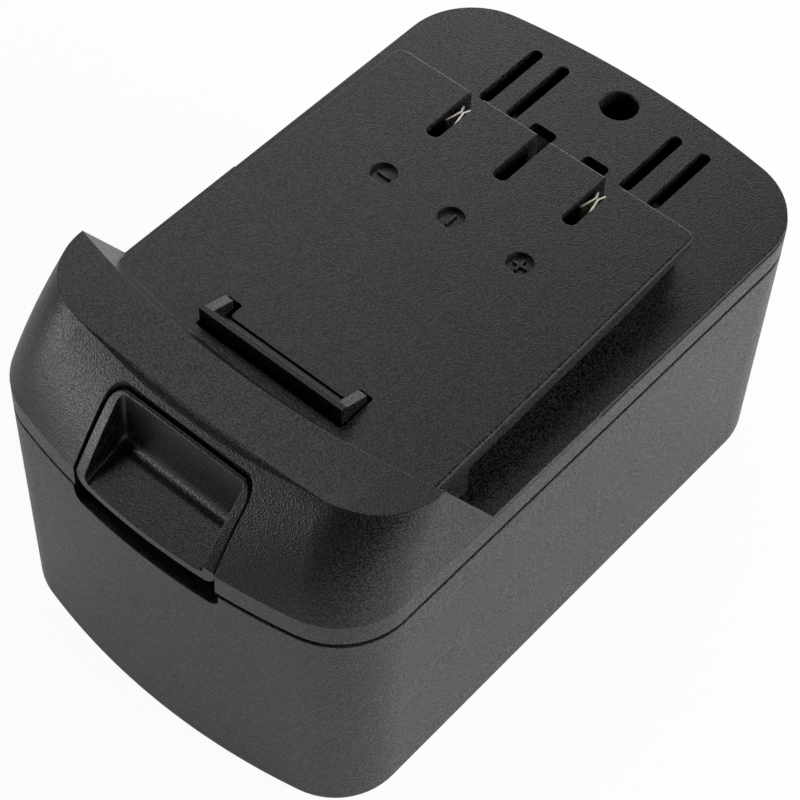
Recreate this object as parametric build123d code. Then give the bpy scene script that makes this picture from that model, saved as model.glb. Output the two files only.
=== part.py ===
from build123d import *

import math
import os

# Slide-on battery pack for a cordless power tool, in millimetres.
# X is the width, +Y points to the terminal end, +Z is up.
# The origin is the middle of the underside.

# Main body
SIDE_ROOM = 2.3           # between the insulated cell ends and the side walls
END_ROOM = 10.35          # between the cell holders and the end walls, for the screw posts
SEAM_Z = 47.0             # top edge of the lower case
BAND_HEIGHT = 6.0         # seam up to the deck
PLATFORM_RISE = 8.5       # deck up to the top of the slide platform
CREST_RISE = 6.3          # platform up to the crest of the nose
WALL = 2.5
FLOOR = 2.5
DRAFT_INSET = 0.7         # how much each side draws in from seam to floor
SEAM_GAP = 0.65
BOTTOM_EDGE_R = 1.5
SEAM_EDGE_R = 0.6         # lower case
BAND_EDGE_R = 0.35        # cover
TONGUE = 1.1              # lip of the lower case that closes the seam from inside
TONGUE_HEIGHT = 1.5
TONGUE_CLEARANCE = 0.1
RIM_EDGE_R = 0.25
RIM_DROP = 0.9            # line round the deck's edge, and foot of the nose's front slope, below the deck
RIM_STEP = 0.15           # the deck is drawn in this much above that line
RIM_LINE_HEIGHT = 0.35
RIM_LINE_DEPTH = 0.35
RIM_LIP = 0.2             # chamfer under the line

# Plan of the body: gently bowed ends with rounded corners
FRONT_BOW_R = 120.0
REAR_BOW_R = 165.0
FRONT_CORNER_R = 13.0
REAR_CORNER_R = 14.0

# Nose with two horns, set back from the front end of the body
HORN_SETBACK = 2.0        # horns in from the sides
NOSE_TOP_SETBACK = 13.9   # front slope at crest height
NOSE_TOP_CORNER_R = 12.0
NOSE_TOP_BOW_R = 2000.0   # nearly straight there
NOSE_WAIST_RISE = 7.9     # above the slope's foot, where it bulges forward
NOSE_WAIST_SETBACK = 5.95
NOSE_WAIST_BOW_R = 240.0
CREST_MIDDLE_SETBACK = 21.5
CREST_BOW = 4.3           # how far the horns' tips lie behind the middle of the crest
REAR_SLOPE_RUN = 9.3      # how far the back of the nose runs out down to the deck
SADDLE_SETBACK = 24.2     # in front of this the top dips
SADDLE_RUN = 11.8         # from there to where the top turns down
SADDLE_DROP = 1.0         # how deep the top dips there on the middle line
SADDLE_EDGE = 8.0         # from the dip's ends out to the horns' tips
CREASE_SOFT_R = 3.0       # rounding in the middle of the line where the top turns down
CREASE_SOFT_HALF = 10.0   # half of the length with that rounding
CREASE_SHARP_HALF = 25.0  # from here out to the horns the line is sharp
CREASE_SHARP_R = 0.2
NOSE_OVER_CREST = 0.6     # the sloped form is built this much too high, then trimmed

# Slide platform
PLATFORM_REAR_SETBACK = 28.0  # from the rear end of the body
PLATFORM_SIDE_GAP = 4.2       # neck wall to terminal block
PLATFORM_WIDENING = 1.25      # each side over the taper length
PLATFORM_TAPER_LENGTH = 60.0
PLATFORM_CORNER_R = 2.0
FLANGE_THICKNESS = 3.2
FLANGE_EDGE_R = 0.5
NECK_SETBACK = 3.15       # groove, in from the rear corners of the flange
NECK_WALL = 2.4
ROOF = 2.5
DECK = 2.5
STOP_LENGTH = 11.5        # blocks that end the grooves at the nose
STOP_CHAMFER = 0.6
LEAD_LENGTH = 17.2        # at the rear the flange gets thinner from below
LEAD_RISE = 1.8

# Terminal slots, symbol recesses, deck cut-outs
CONTACT_PITCH = 13.96
SLOT_WIDTH = 2.74
SLOT_LENGTH = 12.2
SLOT_END_R = 1.2
RECESS_D = 4.5
RECESS_DEPTH = 0.8
RECESS_SETBACK = 23.35    # from the rear edge of the platform
VENT_WIDTH = 2.3
VENT_LENGTH = 15.6
VENT_SETBACK = 6.2        # from the rear end of the body
VENT_INNER_X = 11.97
VENT_OUTER_X = 17.76
WINDOW_INNER_X = 3.0
WINDOW_WIDTH = 5.0
WINDOW_SETBACK = 19.6
WINDOW_LENGTH = 7.0
WINDOW_R = 1.0
PIN_BORE_D = 6.4
PIN_BORE_SETBACK = 7.2
PIN_BORE_DEPTH = 6.0
PIN_BORE_CHAMFER = 0.25
PIN_BOSS_WALL = 1.5

# Release latch: finger button and catch in one moulding
LATCH_TRAVEL = 4.5
LATCH_GAP = 0.6
BUTTON_HALF = 13.8
BUTTON_SETBACK = 10.5     # back of the button from the front end of the body
BUTTON_BOTTOM_Z = 49.0
BUTTON_PLAN_R = 2.4
BUTTON_SINK = 0.3         # the rim lies this far inside the nose surface
BUTTON_LOWER_R = 2.2
BUTTON_RIM_R = 0.4
POCKET_RIM = 1.6          # rim beside the pocket
POCKET_DRAFT = 0.5        # how much each side draws in from crest height to the floor
POCKET_BACK_WALL = 0.65
POCKET_BACK_LEAN = 0.9
POCKET_FLOOR_BACK_Z = 53.1
POCKET_FLOOR_FRONT_Z = 50.3
POCKET_FOLD_R = 3.0
POCKET_SIDE_R = 1.0
WEB_THICKNESS = 2.1
WEB_TOP_GAP = 0.3
CATCH_HALF = 14.35
CATCH_SETBACK = 28.3      # from the front end of the body
CATCH_RISE = 3.25         # catch above the platform
CATCH_LAND = 1.05
CATCH_DEPTH = 2.8
CATCH_BACK_DROP = 2.1
CATCH_EDGE_R = 0.2
CATCH_ARM_WIDTH = 1.75
CATCH_ARM_REACH = 5.6
CATCH_ARM_DROP = 1.75
CATCH_SLOT_OUTER_GAP = 0.35
CATCH_SLOT_INNER_GAP = 0.85   # inside the arms
CATCH_SLOT_FRONT_GAP = 0.6
CATCH_SLOT_REAR_GAP = 1.15
CATCH_SLOT_R = 0.5
NOTCH_HALF = 14.9
NOTCH_BOTTOM_GAP = 0.4    # left under the pressed button
NOTCH_CORNER_R = 2.0

# Latch springs and their retainer
SPRING_INSET = 4.85       # from the ends of the catch
SPRING_SETBACK = 18.7
SPRING_COIL_R = 2.8       # to the middle of the wire
SPRING_WIRE_D = 0.7
SPRING_TURNS = 5
SPRING_PIN_CLEARANCE = 0.25
SPRING_PIN_LENGTH = 1.8
RETAINER_THICKNESS = 1.6
RETAINER_SIDE_GAP = 0.35  # to the screw bosses
RETAINER_FRONT_SETBACK = 5.2
RETAINER_EDGE = 3.05      # behind the screws
RETAINER_CORNER_R = 2.0
RETAINER_SCREW_EDGE = 2.8
CUP_WALL = 1.0
CUP_HEIGHT = 1.6
CUP_CLEARANCE = 0.2
GUARD_GAP = 0.6           # wall behind the button that hides the springs in the notch
GUARD_THICKNESS = 1.2
GUARD_OVERHANG = 0.45     # past the ends of the catch
GUARD_TOP_GAP = 0.4       # left under the pressed web

# Cells, in five columns and two layers, lying across the pack
CELL_D = 18.3
CELL_LENGTH = 65.0
CELL_PITCH = 18.7
CELL_COLUMNS = 5
CELL_LAYERS = 2
CELL_CLEARANCE = 0.1
CELL_CAP_D = 9.0
CELL_CAP_HEIGHT = 1.2
CELL_EDGE_R = 0.8
CELL_GROOVE_DEPTH = 0.5
CELL_GROOVE_WIDTH = 1.2
CELL_GROOVE_PLACE = 3.0

# Cell holders
HOLDER_DEPTH = 20.0
HOLDER_SKIN = 0.9
HOLDER_END_WALL = 1.2
HOLDER_CORNER_R = 3.0
HOLDER_TIE_WIDTH = 10.0
PAD_THICKNESS = 1.0
PAD_SETBACK = 3.0

# Weld strips and side insulators
STRIP_THICKNESS = 0.3
STRIP_HALF_WIDTH = 5.0
STRIP_HALF_HEIGHT = 6.0   # beyond the outer cell centres
STRIP_TAB_WIDTH = 6.0
STRIP_TAB_OVER_BOARD = 0.8
STRIP_RUN_HEIGHT = 3.0    # run along the holder's top edge to reach the board
STRIP_RUN_GAP = 0.2
INSULATOR_THICKNESS = 0.4
INSULATOR_MARGIN = 1.5

# Circuit board and what it carries
BOARD_THICKNESS = 1.6
BOARD_STANDOFF = 1.6
BOARD_FRONT_GAP = 1.5     # behind the retainer
BOARD_REAR_SETBACK = 14.7
BOARD_EDGE_GAP = 0.1
BOARD_CORNER_R = 2.0
BOARD_POST_D = 6.0
BOARD_SCREW_EDGE = 5.4
TRANSISTOR_SIZE = (9.2, 10.0, 2.3)
TRANSISTOR_X = 9.0
TRANSISTOR_PLACE = 27.5   # behind the board's front edge
CHIP_SIZE = (7.0, 5.0, 1.3)
CHIP_PLACE = 15.5
CAPACITOR_SIZE = (2.0, 1.2, 1.1)
CAPACITOR_PITCH = 3.6
CAPACITOR_COUNT = 4
CAPACITOR_PLACE = 7.5
THERMISTOR_D = 3.0
THERMISTOR_GAP = 0.05
THERMISTOR_X = 6.0
THERMISTOR_WINDOW = 0.6   # all round the bead

# Terminal block and its spring contacts
BLOCK_SIDE_WALL = 3.94
BLOCK_REAR_GAP = 2.5      # in front of the platform's rear edge
BLOCK_LENGTH = 11.6
BLOCK_BASE_DROP = 0.4     # top of its base under the deck
BLOCK_WALL = 1.6
BLOCK_ROOF_GAP = 0.3
CHAMBER_WIDTH = 6.2
CONTACT_THICKNESS = 0.35
CONTACT_TOP_GAP = 0.7     # back of a contact under the platform roof
POWER_LEAF_SINK = 1.05    # top of the outer contacts' leaves under the top of the platform
SIGNAL_LEAF_SINK = 5.2
LEAF_RISE_PLACE = 1.6     # behind the front end of the slots
CONTACT_BACK_GAP = 0.1
CONTACT_HALF = 0.75       # inside of the leaves
CONTACT_BEND_PLACE = 4.6  # in front of the block's rear face
CONTACT_PINCH_PLACE = 1.45
CONTACT_PINCH_HALF = 0.05
CONTACT_MOUTH_PLACE = 0.15
CONTACT_MOUTH_HALF = 0.55
CONTACT_TAIL_WIDTH = 1.8
CONTACT_TAIL_CLEARANCE = 0.05

# Screws
CASE_SCREW_SIDE_SETBACK = 15.2
CASE_SCREW_END_SETBACK = 8.2
CASE_SCREW_D = 3.0
CASE_SCREW_LENGTH = 12.0
CASE_SCREW_HEAD_D = 5.6
CASE_SCREW_HEAD_H = 2.4
CASE_POST_R = 4.3
CASE_POST_LAND = 3.0      # thickness under which the head bears
COUNTERBORE_CLEARANCE = 0.4
SMALL_SCREW_D = 2.0
SMALL_SCREW_LENGTH = 6.0
SMALL_SCREW_HEAD_D = 3.8
SMALL_SCREW_HEAD_H = 1.3
SCREW_CLEARANCE = 0.05
SCREW_TIP_ROOM = 1.0
BOSS_WALL = 1.6
socket_width_share = 0.5  # of the head's diameter
socket_depth_share = 0.6  # of the head's height

OVERRUN = 20.0            # how far cutters reach past what they cut

# Heights and places that follow from the sizes above
WIDTH = CELL_LENGTH + 2 * (STRIP_THICKNESS + INSULATOR_THICKNESS + SIDE_ROOM + WALL)
CELL_BORE_R = CELL_D / 2 + CELL_CLEARANCE
HOLDER_HALF_Y = CELL_PITCH * (CELL_COLUMNS - 1) / 2 + CELL_BORE_R + HOLDER_END_WALL
LENGTH = 2 * (HOLDER_HALF_Y + END_ROOM + WALL)
FRONT_Y = -LENGTH / 2
REAR_Y = LENGTH / 2
DECK_Z = SEAM_Z + BAND_HEIGHT
PLATFORM_Z = DECK_Z + PLATFORM_RISE
CREST_Z = PLATFORM_Z + CREST_RISE
ROOF_Z = PLATFORM_Z - ROOF
COVER_BOTTOM_Z = SEAM_Z + SEAM_GAP
NOSE_FOOT_Z = DECK_Z - RIM_DROP
HORN_HALF_WIDTH = WIDTH / 2 - HORN_SETBACK
NOSE_TOP_FRONT_Y = FRONT_Y + NOSE_TOP_SETBACK
NOSE_HEAD_Z = CREST_Z + NOSE_OVER_CREST
WAIST_SHARE = NOSE_WAIST_RISE / (NOSE_HEAD_Z - NOSE_FOOT_Z)
WAIST_Z = NOSE_FOOT_Z + NOSE_WAIST_RISE
WAIST_HALF = WIDTH / 2 - WAIST_SHARE * HORN_SETBACK
WAIST_FRONT_Y = FRONT_Y + NOSE_WAIST_SETBACK
WAIST_CORNER_R = FRONT_CORNER_R - WAIST_SHARE * (FRONT_CORNER_R - NOSE_TOP_CORNER_R)
CREST_MIDDLE_Y = FRONT_Y + CREST_MIDDLE_SETBACK
CREST_TIP_Y = CREST_MIDDLE_Y + CREST_BOW
SADDLE_START_Y = FRONT_Y + SADDLE_SETBACK
SADDLE_HALF_SPAN = HORN_HALF_WIDTH - SADDLE_EDGE
PLATFORM_REAR_Y = REAR_Y - PLATFORM_REAR_SETBACK
BLOCK_HALF_WIDTH = CONTACT_PITCH + CHAMBER_WIDTH / 2 + BLOCK_SIDE_WALL
NECK_HALF = BLOCK_HALF_WIDTH + PLATFORM_SIDE_GAP + NECK_WALL
PLATFORM_REAR_HALF = NECK_HALF + NECK_SETBACK
STOP_REAR_Y = CREST_TIP_Y + STOP_LENGTH
LEAD_START_Y = PLATFORM_REAR_Y - LEAD_LENGTH
FLANGE_Z = PLATFORM_Z - FLANGE_THICKNESS
RECESS_Y = PLATFORM_REAR_Y - RECESS_SETBACK
VENT_REAR_Y = REAR_Y - VENT_SETBACK
WINDOW_REAR_Y = REAR_Y - WINDOW_SETBACK
PIN_BORE_Y = REAR_Y - PIN_BORE_SETBACK
BUTTON_REAR_Y = FRONT_Y + BUTTON_SETBACK
CATCH_FRONT_Y = FRONT_Y + CATCH_SETBACK
SPRING_X = CATCH_HALF - SPRING_INSET
SPRING_Y = FRONT_Y + SPRING_SETBACK
HOLDER_BOTTOM_Z = FLOOR + PAD_THICKNESS
FIRST_CELL_Z = HOLDER_BOTTOM_Z + HOLDER_SKIN + CELL_BORE_R
TOP_CELL_Z = FIRST_CELL_Z + CELL_PITCH * (CELL_LAYERS - 1)
HOLDER_TOP_Z = TOP_CELL_Z + CELL_BORE_R + HOLDER_SKIN
CASE_POST_TOP_Z = HOLDER_TOP_Z
RETAINER_TOP_Z = HOLDER_TOP_Z + RETAINER_THICKNESS
BOARD_BOTTOM_Z = HOLDER_TOP_Z + BOARD_STANDOFF
BOARD_TOP_Z = BOARD_BOTTOM_Z + BOARD_THICKNESS
BOARD_HALF = CELL_LENGTH / 2 - BOARD_EDGE_GAP
BOARD_SCREW_X = BOARD_HALF - BOARD_SCREW_EDGE
WEB_TOP_Z = ROOF_Z - WEB_TOP_GAP
WEB_BOTTOM_Z = WEB_TOP_Z - WEB_THICKNESS
CATCH_TOP_Z = PLATFORM_Z + CATCH_RISE
NOTCH_BOTTOM_Z = BUTTON_BOTTOM_Z - LATCH_TRAVEL - NOTCH_BOTTOM_GAP
LATCH_LOW_Z = NOTCH_BOTTOM_Z - OVERRUN
SPRING_LENGTH = WEB_BOTTOM_Z - RETAINER_TOP_Z
CONTACT_XS = [-CONTACT_PITCH, 0, CONTACT_PITCH]
CELL_YS = [CELL_PITCH * (i - (CELL_COLUMNS - 1) / 2) for i in range(CELL_COLUMNS)]
CELL_ZS = [FIRST_CELL_Z + CELL_PITCH * i for i in range(CELL_LAYERS)]
VALLEY_YS = [(CELL_YS[i] + CELL_YS[i + 1]) / 2 for i in range(CELL_COLUMNS - 1)]
RETAINER_FRONT_Y = FRONT_Y + RETAINER_FRONT_SETBACK
RETAINER_REAR_Y = VALLEY_YS[0] + RETAINER_EDGE
BOARD_FRONT_Y = RETAINER_REAR_Y + BOARD_FRONT_GAP
BOARD_REAR_Y = REAR_Y - BOARD_REAR_SETBACK
BLOCK_REAR_Y = PLATFORM_REAR_Y - BLOCK_REAR_GAP
BLOCK_FRONT_Y = BLOCK_REAR_Y - BLOCK_LENGTH
BLOCK_BASE_TOP_Z = DECK_Z - BLOCK_BASE_DROP
CONTACT_BACK_TOP_Z = ROOF_Z - CONTACT_TOP_GAP
CONTACT_BEND_Y = BLOCK_REAR_Y - CONTACT_BEND_PLACE
CONTACT_PINCH_Y = BLOCK_REAR_Y - CONTACT_PINCH_PLACE
CONTACT_MOUTH_Y = BLOCK_REAR_Y - CONTACT_MOUTH_PLACE
CASE_SCREW_X = WIDTH / 2 - CASE_SCREW_SIDE_SETBACK
CASE_SCREW_Y = REAR_Y - CASE_SCREW_END_SETBACK
CASE_SCREW_SPOTS = [(sx * CASE_SCREW_X, sy * CASE_SCREW_Y) for sx in (-1, 1) for sy in (-1, 1)]
CASE_BOSS_R = CASE_SCREW_D / 2 + SCREW_CLEARANCE + BOSS_WALL
RETAINER_HALF_WIDTH = CASE_SCREW_X - CASE_BOSS_R - RETAINER_SIDE_GAP
RETAINER_SCREW_X = RETAINER_HALF_WIDTH - RETAINER_SCREW_EDGE
RETAINER_SCREW_SPOTS = [(sx * RETAINER_SCREW_X, VALLEY_YS[0]) for sx in (-1, 1)]
BOARD_SCREW_SPOTS = [(sx * BOARD_SCREW_X, y) for sx in (-1, 1) for y in (VALLEY_YS[1], VALLEY_YS[-1])]
CONTACT_BACK_Y = BLOCK_FRONT_Y + BLOCK_WALL + CONTACT_BACK_GAP
LEAF_RISE_Y = PLATFORM_REAR_Y - SLOT_LENGTH + LEAF_RISE_PLACE


def bow_corner(half_width, end_y, bow_r, corner_r, toward):
    """Corner centre and tangent point where a bowed end meets a rounded corner on the +X side."""
    bow_y = end_y - toward * bow_r
    dx = half_width - corner_r
    dy = math.sqrt((bow_r - corner_r) ** 2 - dx ** 2)
    centre = Vector(dx, bow_y + toward * dy)
    out = (centre - Vector(0, bow_y)).normalized()
    return centre, centre + out * corner_r


def arc_about(centre, radius, start, end):
    """Arc round a centre from one point to another, by way of the middle direction."""
    middle = ((start - centre).normalized() + (end - centre).normalized()).normalized()
    return ThreePointArc(start, centre + middle * radius, end)


def mirror_x(v):
    return Vector(-v.X, v.Y)


def end_edges(half_width, end_y, bow_r, corner_r, toward):
    """Corner, bowed end and corner, from the -X side to the +X side."""
    centre, tangent = bow_corner(half_width, end_y, bow_r, corner_r, toward)
    side = Vector(half_width, centre.Y)
    return [
        arc_about(mirror_x(centre), corner_r, mirror_x(side), mirror_x(tangent)),
        ThreePointArc(mirror_x(tangent), Vector(0, end_y), tangent),
        arc_about(centre, corner_r, tangent, side),
    ], side


def body_plan(inset=0.0):
    """Plan of the body, drawn in by an inset all round."""
    half = WIDTH / 2 - inset
    front, front_side = end_edges(half, FRONT_Y + inset, FRONT_BOW_R - inset, FRONT_CORNER_R - inset, -1)
    rear, rear_side = end_edges(half, -FRONT_Y - inset, REAR_BOW_R - inset, REAR_CORNER_R - inset, 1)
    sides = [Line(front_side, rear_side), Line(mirror_x(front_side), mirror_x(rear_side))]
    return make_face(Wire(front + rear + sides))


def nose_plan(half_width, front_y, bow_r, corner_r, inset=0.0):
    """Plan of the nose, open length behind it closed by a straight edge."""
    front, side = end_edges(half_width - inset, front_y + inset, bow_r - inset, corner_r - inset, -1)
    back = Vector(side.X, 0)
    closing = [Line(side, back), Line(back, mirror_x(back)), Line(mirror_x(back), mirror_x(side))]
    return make_face(Wire(front + closing))


def at_z(z):
    return Plane.XY.offset(z)


def block(x0, x1, y0, y1, z0, z1):
    """Box between two corners."""
    size = Box(x1 - x0, y1 - y0, z1 - z0, align=(Align.MIN, Align.MIN, Align.MIN))
    return Pos(x0, y0, z0) * size


def post(x, y, z0, z1, radius):
    """Upright cylinder."""
    return Pos(x, y, z0) * Cylinder(radius, z1 - z0, align=(Align.CENTER, Align.CENTER, Align.MIN))


def rounded_slab(x0, x1, y0, y1, z0, z1, radius):
    """Box with rounded upright edges."""
    sketch = Pos((x0 + x1) / 2, (y0 + y1) / 2) * RectangleRounded(x1 - x0, y1 - y0, radius)
    return extrude(at_z(z0) * sketch, z1 - z0)


def side_profile(points, half_width, x_middle=0.0):
    """Prism along X from a list of (y, z) points."""
    face = make_face(Polyline(*[(0, y, z) for y, z in points], close=True))
    return Pos(x_middle, 0, 0) * extrude(face, half_width, both=True)


def crest_cutter(inset, foot_z):
    """Everything behind the back of the nose, which leans and is bowed in plan."""
    drop = CREST_Z - DECK_Z
    lean = Vector(0, REAR_SLOPE_RUN, -drop).normalized()
    shift = inset * math.hypot(REAR_SLOPE_RUN, drop) / drop
    lift = -OVERRUN * REAR_SLOPE_RUN / drop - shift
    tip = HORN_HALF_WIDTH + OVERRUN
    sag = (CREST_TIP_Y - CREST_MIDDLE_Y) * (tip / HORN_HALF_WIDTH) ** 2
    left = Vector(-tip, CREST_MIDDLE_Y + sag + lift)
    right = Vector(tip, CREST_MIDDLE_Y + sag + lift)
    arc = ThreePointArc(left, Vector(0, CREST_MIDDLE_Y + lift), right)
    far = Vector(0, LENGTH)
    edges = [arc, Line(right, right + far), Line(right + far, left + far), Line(left + far, left)]
    start = make_face(Wire(edges))
    height = CREST_Z + OVERRUN - foot_z
    length = height * math.hypot(REAR_SLOPE_RUN, drop) / drop
    return extrude(at_z(CREST_Z + OVERRUN) * start, length, dir=lean)


def saddle_section(y, dip):
    """Upright section of the space between the horns, its lower edge bowed down by the dip."""
    half = SADDLE_HALF_SPAN
    left, right = (-half, y, CREST_Z), (half, y, CREST_Z)
    low = ThreePointArc(left, (0, y, CREST_Z - dip), right) if dip else Line(left, right)
    top = CREST_Z + OVERRUN
    sides = Polyline(right, (half, y, top), (-half, y, top), left)
    return make_face(Wire([low] + sides.edges()))


def saddle_cutter():
    """Space between the horns, which dips more and more towards the front."""
    reach = SADDLE_RUN + OVERRUN
    dip = SADDLE_DROP * reach / SADDLE_RUN
    return loft([saddle_section(SADDLE_START_Y, 0), saddle_section(SADDLE_START_Y - reach, dip)], ruled=True)


def nose_form(inset=0.0, back_foot_z=DECK_Z):
    """The horned nose, or the hollow inside it when it is drawn in by an inset."""
    foot = nose_plan(WIDTH / 2, FRONT_Y, FRONT_BOW_R, FRONT_CORNER_R, inset)
    waist = nose_plan(WAIST_HALF, WAIST_FRONT_Y, NOSE_WAIST_BOW_R, WAIST_CORNER_R, inset)
    head = nose_plan(HORN_HALF_WIDTH, NOSE_TOP_FRONT_Y, NOSE_TOP_BOW_R, NOSE_TOP_CORNER_R, inset)
    form = loft([at_z(NOSE_FOOT_Z) * foot, at_z(WAIST_Z) * waist, at_z(NOSE_HEAD_Z) * head])
    form -= block(-WIDTH, WIDTH, -LENGTH, OVERRUN, CREST_Z - inset, CREST_Z + OVERRUN)
    return form - Pos(0, 0, -inset) * saddle_cutter() - crest_cutter(inset, back_foot_z)


def point_at_x(edge, x):
    """Point on an edge that runs across the pack, found by halving."""
    low, high = sorted((0.0, 1.0), key=lambda u: (edge @ u).X)
    for _ in range(40):
        middle = (low + high) / 2
        low, high = (middle, high) if (edge @ middle).X < x else (low, middle)
    return edge @ middle


def crease_section(form, crease, x, radius):
    """Upright section of what the rounding takes off the crease at one place."""
    corner = point_at_x(crease, x)
    front = form.faces().filter_by(lambda f: f.center().Y < corner.Y).sort_by_distance(corner)[0]
    down = front.normal_at(corner).cross(Vector(1, 0, 0)).normalized()
    down = down if down.Z < 0 else -down
    back = Vector(0, SADDLE_START_Y - corner.Y, CREST_Z - corner.Z).normalized()
    half_turn = (math.pi - math.radians(down.get_angle(back))) / 2
    inward = (down + back).normalized()
    reach = radius * math.tan(half_turn)
    middle = corner + inward * radius * (1 / math.cos(half_turn) - 1)
    on_top, on_front = corner + back * reach, corner + down * reach
    over = inward * -WALL
    edges = [ThreePointArc(on_top, middle, on_front), Line(on_front, on_front + over),
             Line(on_front + over, on_top + over), Line(on_top + over, on_top)]
    return make_face(Wire(edges))


def soften_crease(form):
    """Round the crease of the nose in its middle, ever less towards the horns."""
    crease = form.edges().sort_by_distance(Vector(0, NOSE_TOP_FRONT_Y, CREST_Z))[0]
    sizes = [(-CREASE_SHARP_HALF, CREASE_SHARP_R), (-CREASE_SOFT_HALF, CREASE_SOFT_R), (0, CREASE_SOFT_R),
             (CREASE_SOFT_HALF, CREASE_SOFT_R), (CREASE_SHARP_HALF, CREASE_SHARP_R)]
    return form - loft([crease_section(form, crease, x, radius) for x, radius in sizes], ruled=True)


def platform_half(y):
    """Half width of the slide platform, a little wider towards the nose."""
    widening = PLATFORM_WIDENING / PLATFORM_TAPER_LENGTH
    return PLATFORM_REAR_HALF + widening * (PLATFORM_REAR_Y - y)


def platform_flange():
    """Top plate of the slide platform, whose sides overhang the grooves."""
    front_y = CREST_MIDDLE_Y
    front, rear = platform_half(front_y), PLATFORM_REAR_HALF
    corners = [(-front, front_y), (-rear, PLATFORM_REAR_Y), (rear, PLATFORM_REAR_Y), (front, front_y)]
    plan = make_face(Polyline(*corners, close=True))
    plan = fillet(plan.vertices().sort_by(Axis.Y)[-2:], PLATFORM_CORNER_R)
    plate = extrude(at_z(FLANGE_Z) * plan, FLANGE_THICKNESS)
    rim = plate.faces().sort_by(Axis.Z)[-1].edges().filter_by(lambda e: e.center().Y > front_y)
    return fillet(rim, FLANGE_EDGE_R) - rail_lead_in(-1) - rail_lead_in(1)


def rail_lead_in(side):
    """What is taken off one side of the flange from below, so that the rail of the tool runs in."""
    end_y = PLATFORM_REAR_Y + WALL
    rise = LEAD_RISE * (end_y - LEAD_START_Y) / LEAD_LENGTH
    low_z = FLANGE_Z - WALL
    points = [(LEAD_START_Y, FLANGE_Z), (end_y, FLANGE_Z + rise), (end_y, low_z), (LEAD_START_Y, low_z)]
    return side_profile(points, OVERRUN / 2, side * (NECK_HALF + OVERRUN / 2))


def groove_stop(side):
    """Block that ends one groove at the nose, flush with the side of the flange."""
    front, rear = platform_half(CREST_TIP_Y), platform_half(STOP_REAR_Y)
    corners = [(side * NECK_HALF, CREST_TIP_Y), (side * front, CREST_TIP_Y),
               (side * rear, STOP_REAR_Y), (side * NECK_HALF, STOP_REAR_Y)]
    stop = extrude(at_z(DECK_Z) * make_face(Polyline(*corners, close=True)), FLANGE_Z - DECK_Z)
    edge = stop.edges().filter_by(Axis.Z).sort_by_distance(Vector(side * rear, STOP_REAR_Y, DECK_Z))[0]
    return chamfer(edge, STOP_CHAMFER)


def button_plan(gap, front_y):
    """Plan of the finger button, grown by a gap."""
    half = BUTTON_HALF + gap
    rear_y = BUTTON_REAR_Y + gap
    corners = [(-half, rear_y), (half, rear_y), (half, front_y), (-half, front_y)]
    plan = make_face(Polyline(*corners, close=True))
    return fillet(plan.vertices().sort_by(Axis.Y)[-2:], BUTTON_PLAN_R + gap)


def catch_slot():
    """Opening in the roof that the catch and its two arms come up through."""
    x_out = CATCH_HALF + CATCH_SLOT_OUTER_GAP
    x_in = CATCH_HALF - CATCH_ARM_WIDTH - CATCH_SLOT_INNER_GAP
    y0 = CATCH_FRONT_Y - CATCH_SLOT_FRONT_GAP
    y1 = CATCH_FRONT_Y + CATCH_DEPTH + CATCH_SLOT_REAR_GAP
    y2 = CATCH_FRONT_Y + CATCH_ARM_REACH + CATCH_SLOT_REAR_GAP
    z0, z1 = ROOF_Z - WALL, PLATFORM_Z + WALL
    slot = block(-x_out, x_out, y0, y1, z0, z1)
    for x0, x1 in ((-x_out, -x_in), (x_in, x_out)):
        slot += block(x0, x1, y0, y2, z0, z1)
    return fillet(slot.edges().filter_by(Axis.Z), CATCH_SLOT_R)


def terminal_slot(x):
    """Slot for one blade of the tool, open at the back of the platform."""
    y0 = PLATFORM_REAR_Y - SLOT_LENGTH
    y1 = PLATFORM_REAR_Y + WALL
    slot = block(x - SLOT_WIDTH / 2, x + SLOT_WIDTH / 2, y0, y1, DECK_Z, PLATFORM_Z + WALL)
    return fillet(slot.edges().filter_by(Axis.Z).group_by(Axis.Y)[0], SLOT_END_R)


def deck_cutouts():
    """Vents and windows through the deck behind the platform."""
    z0, z1 = DECK_Z - 2 * DECK, DECK_Z + DECK
    cut = Part()
    for side in (-1, 1):
        for x in (VENT_INNER_X, VENT_OUTER_X):
            y = VENT_REAR_Y - VENT_LENGTH / 2
            vent = Pos(side * x, y, z0) * SlotOverall(VENT_LENGTH, VENT_WIDTH, rotation=90)
            cut += extrude(vent, z1 - z0)
        x0, x1 = sorted((side * WINDOW_INNER_X, side * (WINDOW_INNER_X + WINDOW_WIDTH)))
        cut += rounded_slab(x0, x1, WINDOW_REAR_Y - WINDOW_LENGTH, WINDOW_REAR_Y, z0, z1, WINDOW_R)
    return cut


def pin_bore():
    """Blind bore in the deck with a chamfered mouth."""
    r = PIN_BORE_D / 2
    bore = post(0, PIN_BORE_Y, DECK_Z - PIN_BORE_DEPTH, DECK_Z + WALL, r)
    mouth = Pos(0, PIN_BORE_Y, DECK_Z) * Cone(r, r + 2 * PIN_BORE_CHAMFER, 2 * PIN_BORE_CHAMFER)
    return bore + mouth


def behind_nose(part):
    """What of a part lies behind the tips of the horns."""
    half = WIDTH / 2 + OVERRUN
    return part & block(-half, half, CREST_TIP_Y, REAR_Y + OVERRUN, SEAM_Z, PLATFORM_Z)


def deck_plate():
    """Top layer of the deck, drawn in above the line round its edge."""
    line_top_z = NOSE_FOOT_Z + RIM_LINE_HEIGHT
    plate = extrude(at_z(line_top_z) * body_plan(RIM_STEP), DECK_Z - line_top_z)
    plate = fillet(plate.faces().sort_by(Axis.Z)[-1].edges(), RIM_EDGE_R)
    plate += extrude(at_z(NOSE_FOOT_Z) * body_plan(RIM_LINE_DEPTH), RIM_LINE_HEIGHT)
    return behind_nose(plate)


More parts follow.
